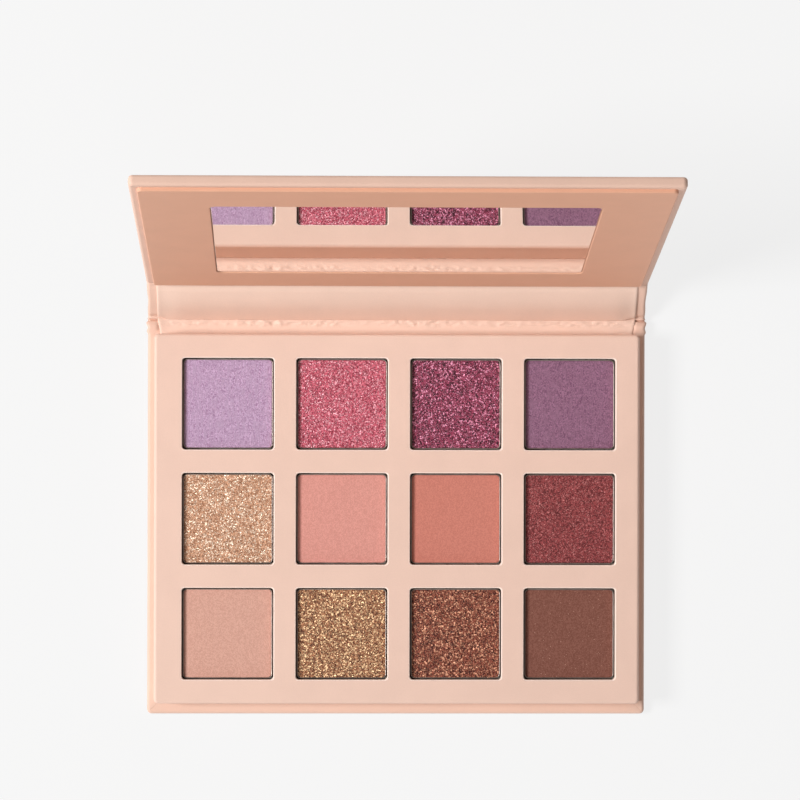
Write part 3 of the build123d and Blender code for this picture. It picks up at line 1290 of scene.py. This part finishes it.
@dataclass
class Lining:
    """A lining strip that crosses a fold: creased at the board's edge and arched over the spine.

    Attributes:
        name: Name of the piece.
        nodes: CAD nodes that it stands for.
        fold: Fold that it crosses.
        start: Where it starts, as a distance past the fold line.
        stop: Where it stops.
        along: Distance of its fold line from the base's fold line.
        span: Distance between the two fold lines.
        groove: How far the crease is lifted out of the groove; a strip with none has no crease.
        taper: How far its sides come in at its start.
        seed: Picks the wrinkles.
        crease_place: Where it is creased, as a distance past the base's fold line.
        crown: Height of its arch over the spine.
        half_width: Half its width along the fold.
        side_round: How far in from a side its face is rounded.
        side_calm: Length over which folds and creases fade towards a side.
        wrinkle: Height of the wrinkles beside the crease.
        columns: Number of faces along the fold.
        row_length: Length of a face across the fold.
    """

    name: str
    nodes: tuple[str, ...]
    fold: Fold
    start: float
    stop: float
    along: float
    span: float
    groove: float = 0.0
    taper: float = 0.0
    seed: float = 0.0
    crease_place: float = -1.5 * MM
    crown: float = 0.65 * MM
    half_width: float = 66.3 * MM
    side_round: float = 2.2 * MM
    side_calm: float = 4 * MM
    wrinkle: float = 0.45 * MM
    columns: int = 330
    row_length: float = 0.26 * MM

    def build(self, paper: bpy.types.Material) -> None:
        """Build and dress the piece.

        Args:
            paper: Material of the paper.
        """
        top = self.fold.thickness + PAPER
        low = Vector((-self.half_width, self.start, top))
        high = Vector((self.half_width, self.stop, top))
        rows = round((self.stop - self.start) / self.row_length)
        piece = Workpiece.sheet(self.name, low, high, self.columns, rows)
        piece.thicken(PAPER)
        piece.form(self.laid)
        piece.smooth(60)
        piece.dress(paper)
        piece.hand_over_bent(self.fold, top - PAPER / 2, "lining_paper", *self.nodes)

    def arch(self, x: float, distance: float) -> float:
        """Height of the strip's arch over the spine.

        Args:
            x: Place along the fold line.
            distance: Distance past the strip's own fold line.

        Returns:
            The height that it adds.
        """
        share = (distance - self.crease(x) + self.along) / (self.span - self.crease(x))
        if not 0 < share < 1:
            return 0.0
        edge = smoothstep((self.half_width - abs(x)) / (7 * MM))
        return self.crown * math.sin(math.pi * share) * mix_numbers(0.35, 1.0, edge)

    def crease(self, x: float) -> float:
        """Find where the strip is creased.

        Args:
            x: Place along the fold line.

        Returns:
            The crease, as a distance past the base's fold line.
        """
        return self.crease_place + 0.25 * MM * noise.noise(Vector((x * 120, 1.0, 0)))

    def calm(self, x: float) -> float:
        """How much of a fold or crease is left at a place, less towards the sides."""
        return smoothstep((self.half_width - abs(x)) / self.side_calm)

    def wrinkles(self, x: float, distance: float) -> float:
        """Height of the irregular wrinkles that the crease leaves beside it.

        Args:
            x: Place along the fold line.
            distance: Distance past the fold line.

        Returns:
            The height that they add.
        """
        crease = self.crease(x)
        near = hill(distance, crease - 2.3 * MM, crease + 0.9 * MM)
        ridges = noise.noise(Vector((x * 420, distance * 1100, self.seed + 3)))
        ridges += 0.7 * noise.noise(Vector((x * 1000, distance * 1900, self.seed + 7)))
        patch = smoothstep(0.5 + 1.4 * noise.noise(Vector((x * 70, self.seed + 11, 0))))
        return self.wrinkle * ridges * near * mix_numbers(0.4, 1.0, patch)

    def laid(self, point: Vector) -> Vector:
        """Lay a point of the flat strip over the boards and into the groove.

        Args:
            point: A point of the flat strip.

        Returns:
            The point in the shared frame.
        """
        x, distance, height = point
        inset = (self.half_width - abs(x)) / self.side_round
        if inset < 1:
            x = math.copysign(self.half_width - self.side_round * inset**2, x)
        height += 0.15 * MM * smoothstep(1 - inset) - 0.3 * MM * smoothstep(1 - 2.2 * inset)
        height += self.arch(x, distance)
        unevenness = 0.04 * MM * noise.noise(Vector((x * 60, (distance + self.along) * 120, 5.0)))
        if not self.groove:
            return self.fold.place(x, distance, height + unevenness)
        lift = mix_numbers(-0.3 * MM, self.groove, self.calm(x))
        height += lift * hill(distance, -1.9 * MM, 1.9 * MM)
        height += self.wrinkles(x, distance)
        height += unevenness
        back = smoothstep((self.crease(x) - distance) / (3.5 * MM))
        x -= self.taper * back * x / self.half_width
        return self.creased(x, distance, height)

    def creased(self, x: float, distance: float, height: float) -> Vector:
        """Bring a point round the fold with a sharp crease, softened towards the strip's sides.

        Args:
            x: Place along the fold line.
            distance: Distance past the fold line along the flat strip.
            height: Height above the outer paper face.

        Returns:
            The point in the shared frame.
        """
        fold = self.fold
        angle = math.radians(fold.second.tilt)
        flat = Vector((x, distance, height))
        risen = Vector((x, *turned(distance, height, angle)))
        sharp = fold.second.pivot + flat.lerp(risen, smoothstep(distance / (3.4 * MM) + 0.5))
        soft = fold.place(x, distance, height)
        return soft.lerp(sharp, mix_numbers(0.4, 1.0, self.calm(x)))


@dataclass
class Cover:
    """The book cover: paper on three panels, two folds with their linings, and the boards inside.

    Attributes:
        pinch: How far the spine's sides draw in.
        groove: How far the lower lining's crease is lifted out of the groove.
    """

    pinch: float = 0.2 * MM
    groove: float = 0.2 * MM

    def folds(self) -> tuple[Fold, Fold]:
        """Measure the two folds from the frame.

        Returns:
            The fold behind the base and the fold under the lid.
        """
        base_low, base_high = BASE.box("base_wrap")
        spine_low, spine_high = SPINE.box("spine_wrap")
        lid_low, _ = LID.box("lid_wrap")
        thickness = base_high.z - base_low.z
        span = (LID.pivot - SPINE.pivot).length
        lower = Fold(BASE, SPINE, SPINE.pivot.y - base_high.y, spine_low.y, thickness)
        upper = Fold(SPINE, LID, span - spine_high.y, lid_low.y, thickness)
        return lower, upper

    def build(self) -> None:
        """Build the cover's papers and dress its boards."""
        lower, upper = self.folds()
        paper = COVER_PAPER.make()
        lining = LINING_PAPER.make()
        _, tray_high = BASE.box("tray_wrap")
        _, base_high = BASE.box("base_wrap")
        _, spine_high = SPINE.box("spine_wrap")
        panel_low, _ = LID.box("lid_panel_facing")
        lead = base_high.y - tray_high.y
        CoverPaper("cover_base_paper", "base_wrap", BASE, trim=lead, free_low=True).build(paper)
        CoverPaper("cover_spine_paper", "spine_wrap", SPINE, pinch=self.pinch).build(paper)
        CoverPaper("cover_lid_paper", "lid_wrap", LID, free_high=True).build(paper)
        FoldPaper(
            "base_fold_paper",
            "base_joint_paper",
            lower,
            lead=lead,
            crease=0.6 * MM - lower.before,
            groove=0.9 * MM,
            lump=0.5 * MM,
            seed=2.0,
        ).build(paper)
        FoldPaper(
            "lid_fold_paper",
            "lid_joint_paper",
            upper,
            lead=0.0,
            crease=0.2 * MM,
            groove=0.3 * MM,
            lump=0.0,
            seed=8.0,
        ).build(paper)
        span = (LID.pivot - SPINE.pivot).length
        Lining(
            "lining_lower",
            ("base_lining", "base_joint_lining", "spine_lining"),
            lower,
            start=-lower.before - lead,
            stop=spine_high.y,
            along=0.0,
            span=span,
            groove=self.groove,
            taper=0.7 * MM,
            seed=1.0,
        ).build(lining)
        Lining(
            "lining_upper",
            ("lid_joint_lining",),
            upper,
            start=-upper.before,
            stop=panel_low.y,
            along=span,
            span=span,
        ).build(lining)
        board = GREYBOARD.make()
        for node in ("base_board", "spine_board", "lid_board"):
            Workpiece(frame["nodes"][node]).dress(board)


# Tray, pans and powders


def flared_cutter(name: str, low: Vector, high: Vector, corner: float, flare: float) -> Workpiece:
    """A rounded block for cutting a window whose upper rim is rounded over.

    Args:
        name: Name of the cutter.
        low: Lowest corner of the window.
        high: Highest corner of the window, level with the face that is cut.
        corner: Radius of the window's corners in plan.
        flare: Radius of the rim.

    Returns:
        The cutter, whose last ring overshoots the face so that the cut is clean.
    """
    steps, overshoot, top = 5, 1.5, 1 * MM
    cutter = Workpiece.block(name, low, Vector((high.x, high.y, high.z - flare)))
    cutter.bevel(upright, corner, 6)
    centre = (low + high) / 2
    last = 0.0
    width, length = high.x - low.x, high.y - low.y
    with cutter.editing(Pick.FACE, looks_up):
        for step in range(1, steps + 1):
            before, angle = (math.pi / 2 * (step + back) / steps for back in (-1, 0))
            reach = overshoot if step == steps else 1.0
            out = last + reach * flare * (math.cos(before) - math.cos(angle))
            rise = reach * flare * (math.sin(angle) - math.sin(before))
            bpy.ops.mesh.extrude_region_move(TRANSFORM_OT_translate={"value": (0, 0, rise)})
            grow_x = (width + 2 * out) / (width + 2 * last)
            grow_y = (length + 2 * out) / (length + 2 * last)
            bpy.ops.transform.resize(value=(grow_x, grow_y, 1), center_override=centre)
            last = out
        bpy.ops.mesh.extrude_region_move(TRANSFORM_OT_translate={"value": (0, 0, top)})
    return cutter


@dataclass
class Tray:
    """The card tray: paper over a face card, with twelve windows.

    Attributes:
        rows: Number of rows of windows.
        columns: Number of windows in a row.
        side_radius: Radius of the corners in plan.
        top_radius: Radius of the top edge.
        window_radius: Radius of the windows' corners.
        rim_radius: Radius of the windows' rims.
        clearance: Gap round a pan.
        border: Narrowest strip beside the windows that is no rim.
    """

    rows: int = 3
    columns: int = 4
    side_radius: float = 1.25 * MM
    top_radius: float = 0.85 * MM
    window_radius: float = 0.9 * MM
    rim_radius: float = 0.3 * MM
    clearance: float = 0.3 * MM
    border: float = 2 * MM

    def windows(self) -> list[tuple[Vector, Vector]]:
        """Work the windows out from the pans.

        Returns:
            Lowest and highest corner of every window in plan.
        """
        places = []
        step = Vector((self.clearance, self.clearance, 0))
        for row in range(1, self.rows + 1):
            for column in range(1, self.columns + 1):
                low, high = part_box(f"pan_r{row}c{column}")
                places.append((low - step, high + step))
        return places

    def build(self) -> None:
        """Build the tray's paper and dress the card inside."""
        low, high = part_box("tray_wrap")
        _, frame_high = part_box("tray_frame")
        piece = Workpiece.block("tray_paper", low, high)
        piece.bevel(upright, self.side_radius, 6)
        piece.bevel(lambda edge: level(edge, high.z), self.top_radius, 5)
        for index, (start, stop) in enumerate(self.windows()):
            bottom = Vector((start.x, start.y, frame_high.z))
            top = Vector((stop.x, stop.y, high.z))
            cutter = flared_cutter(f"cutter_{index}", bottom, top, self.window_radius, self.rim_radius)
            piece.subtract(cutter)

        def hidden(face: Face) -> bool:
            """Whether a face lies level under the face card."""
            return abs(face.normal.z) > FACING and face.calc_center_median().z < frame_high.z + 5 * CLOSE

        piece.delete(hidden)
        piece.thicken(PAPER)
        piece.smooth(30)
        piece.dress(TRAY_PAPER.make(), RIM_HIGHLIGHT_PAPER.make())

        def on_highlighted_rim(face: bpy.types.MeshPolygon) -> bool:
            """Whether a face is part of a window's rounded rim, which gets the painted highlight.

            Args:
                face: The face.

            Returns:
                Whether it is.
            """
            centre = face.center
            near_top = high.z - self.rim_radius * 1.02 < centre.z < high.z - 0.001 * MM
            inside = abs(centre.x) < high.x - self.border and abs(centre.y) < high.y - self.border
            return near_top and inside and face.normal.z > 0.05

        # Painted highlight: the rounded window rims get the lighter paper in place of the light they catch.
        piece.paint(1, on_highlighted_rim)
        piece.hand_over("base", "tray_paper", "tray_wrap")
        card = TRAY_CARD.make()
        for node in ("tray_base_layer", "tray_frame", "face_card"):
            Workpiece(frame["nodes"][node]).dress(card)
        Workpiece(frame["nodes"]["pan_glue"]).dress(GLUE.make())


ORCHID = PowderFinish(
    Sparkle.SATIN, (206, 172, 204), (160, 122, 156), (235, 214, 236),
    grain=0.28 * MM, contrast=1.0, weave=0.9,
)
PINK_SHIMMER = PowderFinish(
    Sparkle.SHIMMER, (218, 102, 122), (134, 34, 56), (252, 186, 198),
    grain=0.28 * MM, contrast=0.95, weave=0.2, glints=0.12,
)
PLUM_GLITTER = PowderFinish(
    Sparkle.GLITTER, (158, 60, 90), (64, 12, 32), (240, 158, 188),
    grain=0.31 * MM, contrast=0.95, glints=0.11,
)
MAUVE_SATIN = PowderFinish(
    Sparkle.SATIN, (160, 112, 140), (112, 68, 96), (190, 150, 176),
    grain=0.28 * MM, contrast=1.0, weave=0.8,
)
CHAMPAGNE = PowderFinish(
    Sparkle.GLITTER, (220, 168, 134), (158, 108, 78), (255, 230, 206),
    grain=0.31 * MM, contrast=0.85, glints=0.15,
)
ROSE_MATTE = PowderFinish(
    Sparkle.MATTE, (224, 156, 144), (208, 140, 128), (240, 190, 178),
    grain=0.25 * MM, contrast=0.9, weave=0.25,
)
CORAL_MATTE = PowderFinish(
    Sparkle.MATTE, (207, 129, 113), (194, 117, 101), (230, 170, 150),
    grain=0.25 * MM, contrast=0.9, weave=0.12,
)
WINE_SHIMMER = PowderFinish(
    Sparkle.SHIMMER, (158, 68, 70), (94, 26, 30), (214, 136, 134),
    grain=0.29 * MM, contrast=0.9, weave=0.1, glints=0.08,
)
NUDE_MATTE = PowderFinish(
    Sparkle.MATTE, (218, 168, 151), (202, 151, 134), (235, 200, 186),
    grain=0.25 * MM, contrast=0.9, weave=0.2,
)
BRONZE_GLITTER = PowderFinish(
    Sparkle.GLITTER, (178, 120, 84), (94, 50, 28), (252, 212, 166),
    grain=0.32 * MM, contrast=0.95, glints=0.16,
)
COPPER_GLITTER = PowderFinish(
    Sparkle.GLITTER, (146, 74, 54), (70, 22, 12), (228, 166, 134),
    grain=0.32 * MM, contrast=0.95, glints=0.12,
)
BROWN_MATTE = PowderFinish(
    Sparkle.MATTE, (136, 88, 75), (118, 72, 60), (214, 170, 150),
    grain=0.28 * MM, contrast=0.9, weave=0.08, glints=0.004,
)
POWDERS = (
    (ORCHID, PINK_SHIMMER, PLUM_GLITTER, MAUVE_SATIN),
    (CHAMPAGNE, ROSE_MATTE, CORAL_MATTE, WINE_SHIMMER),
    (NUDE_MATTE, BRONZE_GLITTER, COPPER_GLITTER, BROWN_MATTE),
)


@dataclass
class Pans:
    """The twelve steel pans and their pressed powders.

    Attributes:
        wall: Thickness of the steel.
        corner_radius: Radius of a pan's corners in plan.
        rim_radius: Radius of a pan's rim.
        powder_edge: Radius of a powder's top edge.
        crown: Height that a powder rises towards its middle.
        crown_steps: Size and share of the rise of each ring of the crown.
    """

    wall: float = 0.2 * MM
    corner_radius: float = 1.2 * MM
    rim_radius: float = 0.07 * MM
    powder_edge: float = 0.22 * MM
    crown: float = 0.05 * MM
    crown_steps: tuple[tuple[float, float], ...] = ((0.94, 0.4), (0.85, 0.35), (0.6, 0.25))

    def pan(self) -> Workpiece:
        """Build the first pan, which the others are copied from.

        Returns:
            The pan.
        """
        low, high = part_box("pan_r1c1")
        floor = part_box("powder_r1c1")[0].z
        piece = Workpiece.block("steel_pan_r1c1", low, high)
        piece.bevel(upright, self.corner_radius, 6)
        with piece.editing(Pick.FACE, looks_up):
            bpy.ops.mesh.inset(thickness=self.wall)
            bpy.ops.mesh.extrude_region_move(TRANSFORM_OT_translate={"value": (0, 0, floor - high.z)})
        piece.bevel(lambda edge: level(edge, high.z), self.rim_radius, 3)
        piece.bevel(lambda edge: level(edge, low.z), self.wall, 3)
        piece.smooth(40)
        return piece

    def powder(self) -> Workpiece:
        """Build the first powder, which the others are copied from.

        Returns:
            The powder.
        """
        low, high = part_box("powder_r1c1")
        piece = Workpiece.block("pressed_powder_r1c1", low, high)
        piece.bevel(upright, self.corner_radius - self.wall, 5)
        piece.bevel(lambda edge: level(edge, high.z), self.powder_edge, 4)
        with piece.editing(Pick.FACE, looks_up):
            for scale, rise in self.crown_steps:
                bpy.ops.mesh.extrude_region_move(TRANSFORM_OT_translate={"value": (0, 0, rise * self.crown)})
                bpy.ops.transform.resize(value=(scale, scale, 1), center_override=(low + high) / 2)
        piece.smooth(50)
        return piece

    def build(self) -> None:
        """Build, copy and dress the pans and powders."""
        steel = PAN_STEEL.make()
        first_pan, first_powder = self.pan(), self.powder()
        pan_start, powder_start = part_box("pan_r1c1")[0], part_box("powder_r1c1")[0]
        for row, finishes in enumerate(POWDERS, start=1):
            for column, finish in enumerate(finishes, start=1):
                place = f"r{row}c{column}"
                pan, powder = first_pan, first_powder
                if place != "r1c1":
                    pan_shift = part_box(f"pan_{place}")[0] - pan_start
                    powder_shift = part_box(f"powder_{place}")[0] - powder_start
                    pan = first_pan.copy(f"steel_pan_{place}", pan_shift)
                    powder = first_powder.copy(f"pressed_powder_{place}", powder_shift)
                pan.dress(steel)
                powder.dress(finish.make(f"powder_{place}"))
                pan.hand_over("base", "pan_steel", f"pan_{place}")
                powder.hand_over("base", f"powder_{place}", f"powder_{place}")


# Lid


@dataclass
class LidPanel:
    """The papered panel inside the lid, and its mirror.

    Attributes:
        corner_radius: Radius of the panel's corners in plan.
        edge_radius: Radius of the panel's edge.
        window_radius: Radius of the mirror window's corners.
        rim_radius: Radius of the window's rim.
        clearance: Gap round the mirror.
        glass_bevel: Width of the mirror's bevel.
    """

    corner_radius: float = 1.25 * MM
    edge_radius: float = 0.3 * MM
    window_radius: float = 2.0 * MM
    rim_radius: float = 0.25 * MM
    clearance: float = 0.15 * MM
    glass_bevel: float = 0.12 * MM

    def build(self) -> None:
        """Build the panel's paper and the mirror, and dress what is behind them."""
        glass_low, glass_high = LID.box("mirror_glass")
        self.lay_paper(glass_low, glass_high)
        self.set_mirror(glass_low, glass_high)
        for node, finish in (
            ("lid_panel_card", TRAY_CARD),
            ("mirror_backing", BACKING_FILM),
            ("mirror_tape", TAPE),
            ("lid_magnets", MAGNET_METAL),
            ("base_magnets", MAGNET_METAL),
        ):
            Workpiece(frame["nodes"][node]).dress(finish.make())

    def lay_paper(self, glass_low: Vector, glass_high: Vector) -> None:
        """Lay the panel's paper round its edges and into the mirror's window.

        Args:
            glass_low: Lowest corner of the mirror.
            glass_high: Highest corner of the mirror.
        """
        low, high = LID.box("lid_panel_facing")
        gap = Vector((self.clearance, self.clearance, 0))
        piece = Workpiece.block("lid_panel_paper", low, high)
        piece.bevel(upright, self.corner_radius, 6)
        piece.bevel(lambda edge: level(edge, high.z), self.edge_radius, 4)
        window_low = Vector((glass_low.x, glass_low.y, low.z - 1 * MM)) - gap
        window_high = Vector((glass_high.x, glass_high.y, high.z)) + gap
        cutter = flared_cutter("cutter_mirror", window_low, window_high, self.window_radius, self.rim_radius)
        piece.subtract(cutter)
        piece.delete(lambda face: face.normal.z < -FACING)
        piece.thicken(PAPER)
        piece.smooth(30)
        piece.set_on(LID)
        # The panel paper's darker, more saturated colour is painted shade for the upright lid.
        piece.dress(SHADED_PANEL_PAPER.make())
        piece.hand_over("lid", "panel_paper", "lid_panel_facing")

    def set_mirror(self, low: Vector, high: Vector) -> None:
        """Set the mirror into its window.

        Args:
            low: Lowest corner of the mirror.
            high: Highest corner of the mirror.
        """
        glass = Workpiece.block("mirror", low, high)
        glass.bevel(upright, self.window_radius - self.clearance, 8)
        glass.bevel(lambda edge: level(edge, high.z), self.glass_bevel, 2)
        glass.smooth(20)
        glass.set_on(LID)
        glass.dress(MIRROR.make())
        glass.hand_over("lid", "mirror_glass", "mirror_glass")


# Studio


@dataclass
class Studio:
    """Floor, lights and camera.

    Attributes:
        floor_size: Length of the floor's sides.
        floor_drop: How far the floor lies under the palette.
        floor_light: Strength of the floor's own glow.
        floor_share: How much light the floor throws back.
        key_elevation: Height of the main light, in degrees.
        key_distance: Its distance.
        key_size: Length of its sides.
        key_power: Its power in watts.
        reflector_elevation: Height of the weak front light, in degrees.
        reflector_distance: Its distance.
        reflector_size: Length of its sides.
        reflector_power: Its power in watts.
        sky: Strength of the light from all round.
        sky_colour: Colour of that light.
        lens: Focal length in millimetres.
        camera_place: Place of the camera.
        camera_turn: Turn of the camera from straight down, in degrees.
    """

    floor_size: float = 6.0
    floor_drop: float = 0.02 * MM
    floor_light: float = 0.815
    floor_share: float = 0.1
    key_elevation: float = 45.0
    key_distance: float = 1.6
    key_size: float = 0.42
    key_power: float = 26.5
    reflector_elevation: float = 18.0
    reflector_distance: float = 1.5
    reflector_size: float = 0.84
    reflector_power: float = 4.5
    sky: float = 0.24
    sky_colour: Colour = (1.0, 0.95, 0.91)
    lens: float = 165.65
    camera_place: Point = (-0.02449, 0.03308, 1.0244)
    camera_turn: Point = (-0.02, -1.425, 0.137)

    def build(self) -> None:
        """Set up the studio."""
        self.lay_floor()
        self.hang_lights()
        self.set_camera()
        bpy.context.scene.view_settings.view_transform = "Standard"

    def lay_floor(self) -> None:
        """Lay a plain pale floor that glows a little, so that shadows on it stay faint."""
        bpy.ops.object.select_all(action="DESELECT")
        bpy.ops.mesh.primitive_grid_add(
            x_subdivisions=4, y_subdivisions=4, size=self.floor_size, location=(0, 0, -self.floor_drop)
        )
        floor = bpy.context.active_object
        floor.name = "floor"
        recipe = Recipe("floor_white", (0.9, 0.9, 0.9), 0.9)
        share = recipe.ranged(recipe.cloud(3), 0.0, 1.0, 0.998, 1.0)
        recipe.feed("Base Color", recipe.mix(share, (0.0, 0.0, 0.0), (self.floor_share,) * 3))
        recipe.set("Specular IOR Level", 0.0)
        recipe.set("Emission Color", (1.0, 1.0, 1.0, 1.0))
        recipe.set("Emission Strength", self.floor_light)
        floor.data.materials.append(recipe.material)

    def hang_lights(self) -> None:
        """Hang the main light at the left, a weak one in front, and fill the room with pale light."""
        side, up = turned(1.0, 0.0, math.radians(self.key_elevation))
        self.hang("key", (-side, 0.0, up), self.key_distance, self.key_size, self.key_power)
        side, up = turned(1.0, 0.0, math.radians(self.reflector_elevation))
        front = (0.0, -side, up)
        self.hang("reflector", front, self.reflector_distance, self.reflector_size, self.reflector_power)
        world = bpy.data.worlds.new("studio")
        world.use_nodes = True
        background = world.node_tree.nodes["Background"]
        background.inputs["Color"].default_value = (*self.sky_colour, 1.0)
        background.inputs["Strength"].default_value = self.sky
        bpy.context.scene.world = world

    def hang(self, name: str, towards: Point, distance: float, size: float, power: float) -> None:
        """Hang a square light that faces the palette.

        Args:
            name: Name of the light.
            towards: Direction of the light, seen from the palette.
            distance: Its distance from the palette.
            size: Length of its sides.
            power: Its power in watts.
        """
        lamp = bpy.data.lights.new(name, "AREA")
        lamp.shape = "SQUARE"
        lamp.size = size
        lamp.energy = power
        light = bpy.data.objects.new(name, lamp)
        light.location = Vector(towards) * distance
        light.rotation_euler = Vector(towards).to_track_quat("Z", "Y").to_euler()
        bpy.context.scene.collection.objects.link(light)

    def set_camera(self) -> None:
        """Set the camera above the palette."""
        data = bpy.data.cameras.new("camera")
        data.lens = self.lens
        data.sensor_width = 36.0
        data.clip_start, data.clip_end = 0.01, 20.0
        camera = bpy.data.objects.new("camera", data)
        camera.location = self.camera_place
        camera.rotation_euler = [math.radians(angle) for angle in self.camera_turn]
        bpy.context.scene.collection.objects.link(camera)
        bpy.context.scene.camera = camera


def main() -> None:
    """Build the palette piece by piece, then the studio."""
    logging.basicConfig(level=logging.INFO, format="%(name)s: %(message)s")
    for assembly in (Cover(), Tray(), Pans(), LidPanel(), Studio()):
        LOG.info("building %s", type(assembly).__name__)
        assembly.build()


if __name__ == "__main__":
    main()
